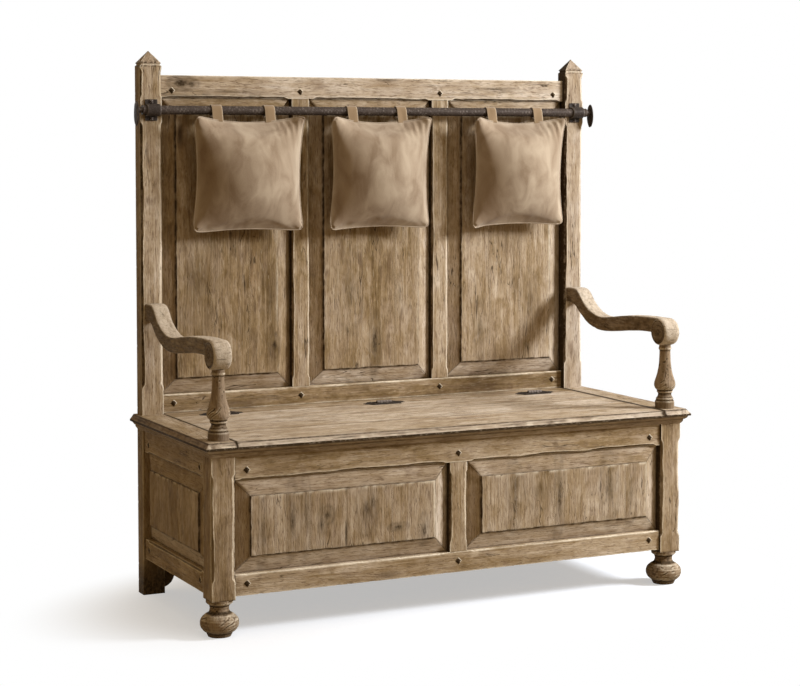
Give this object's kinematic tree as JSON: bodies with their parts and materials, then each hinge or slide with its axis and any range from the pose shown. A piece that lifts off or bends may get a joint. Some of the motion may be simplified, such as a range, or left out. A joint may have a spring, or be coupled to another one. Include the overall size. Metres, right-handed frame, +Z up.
{
  "type": "settle bench",
  "caption": "High-backed settle bench with a lidded chest seat, panelled back, scrolled arms on turned balusters, and cushions hung by loops from an iron rod.",
  "frame": {"origin": "On the floor, under the middle of the whole bench's box", "axes": "+Z up, +X to the right of someone who faces the seat, +Y from the front of the seat towards its back"},
  "size_m": [1.4426, 0.5954, 1.49],
  "materials": {
    "oak": "hand-hewn, weathered and waxed oak with a darker glaze in the hollows",
    "iron": "hand-forged and blackened, lightly rubbed bright on the edges",
    "suede": "soft brushed suede cloth"
  },
  "bodies": {
    "bench": {"rear_post_right": "oak", "rear_post_left": "oak", "front_leg_right": "oak", "front_leg_left": "oak", "bun_foot_right": "oak", "bun_foot_left": "oak", "rear_bracket_right": "oak", "rear_bracket_left": "oak", "back_top_rail": "oak", "back_seat_rail": "oak", "back_muntin_left": "oak", "back_muntin_right": "oak", "back_panel_left": "oak", "back_panel_centre": "oak", "back_panel_right": "oak", "front_top_rail": "oak", "front_bottom_rail": "oak", "front_muntin": "oak", "front_panel_left": "oak", "front_panel_right": "oak", "side_top_rail_right": "oak", "side_top_rail_left": "oak", "side_bottom_rail_right": "oak", "side_bottom_rail_left": "oak", "side_panel_right": "oak", "side_panel_left": "oak", "box_back_rail": "oak", "box_back_panel": "oak", "chest_floor": "oak", "top_end_right": "oak", "top_end_left": "oak", "top_back_strip": "oak", "moulding_front": "oak", "moulding_side_right": "oak", "moulding_side_left": "oak", "arm_right": "oak", "arm_left": "oak", "arm_baluster_right": "oak", "arm_baluster_left": "oak", "hinge_fixed_leaf_left": "iron", "hinge_fixed_leaf_centre": "iron", "hinge_fixed_leaf_right": "iron", "rod_bracket_right": "iron", "rod_bracket_left": "iron"},
    "lid": {"lid": "oak", "lid_batten_left": "oak", "lid_batten_right": "oak", "hinge_lid_leaf_left": "iron", "hinge_lid_leaf_centre": "iron", "hinge_lid_leaf_right": "iron"},
    "rod": {"hanging_rod": "iron"},
    "left_loops": {"left_cushion_loop_left": "suede", "left_cushion_loop_right": "suede"},
    "left_pad": {"left_cushion": "suede"},
    "centre_loops": {"centre_cushion_loop_left": "suede", "centre_cushion_loop_right": "suede"},
    "centre_pad": {"centre_cushion": "suede"},
    "right_loops": {"right_cushion_loop_left": "suede", "right_cushion_loop_right": "suede"},
    "right_pad": {"right_cushion": "suede"}
  },
  "joints": [
    {"name": "lid_hinge", "type": "hinge", "parent": "bench", "child": "lid", "pos_m": [0, 0.18665, 0.5018], "axis": [-1, 0, 0], "range_deg": [0, 100]},
    {"name": "rod_spin", "type": "hinge", "parent": "bench", "child": "rod", "pos_m": [0, 0.23755, 1.3294], "axis": [1, 0, 0], "continuous": true},
    {"name": "left_cushion_slide", "type": "slide", "parent": "bench", "child": "left_loops", "axis": [1, 0, 0], "range_m": [-0.06, 0.04]},
    {"name": "left_cushion_swing", "type": "hinge", "parent": "left_loops", "child": "left_pad", "pos_m": [-0.40151, 0.20462, 1.29992], "axis": [-1, 0, 0], "range_deg": [0, 45]},
    {"name": "centre_cushion_slide", "type": "slide", "parent": "bench", "child": "centre_loops", "axis": [1, 0, 0], "range_m": [-0.04, 0.06]},
    {"name": "centre_cushion_swing", "type": "hinge", "parent": "centre_loops", "child": "centre_pad", "pos_m": [0.00681, 0.20462, 1.29992], "axis": [-1, 0, 0], "range_deg": [0, 45]},
    {"name": "right_cushion_slide", "type": "slide", "parent": "bench", "child": "right_loops", "axis": [1, 0, 0], "range_m": [-0.06, 0.02]},
    {"name": "right_cushion_swing", "type": "hinge", "parent": "right_loops", "child": "right_pad", "pos_m": [0.4566, 0.20462, 1.29992], "axis": [-1, 0, 0], "range_deg": [0, 45]}
  ]
}
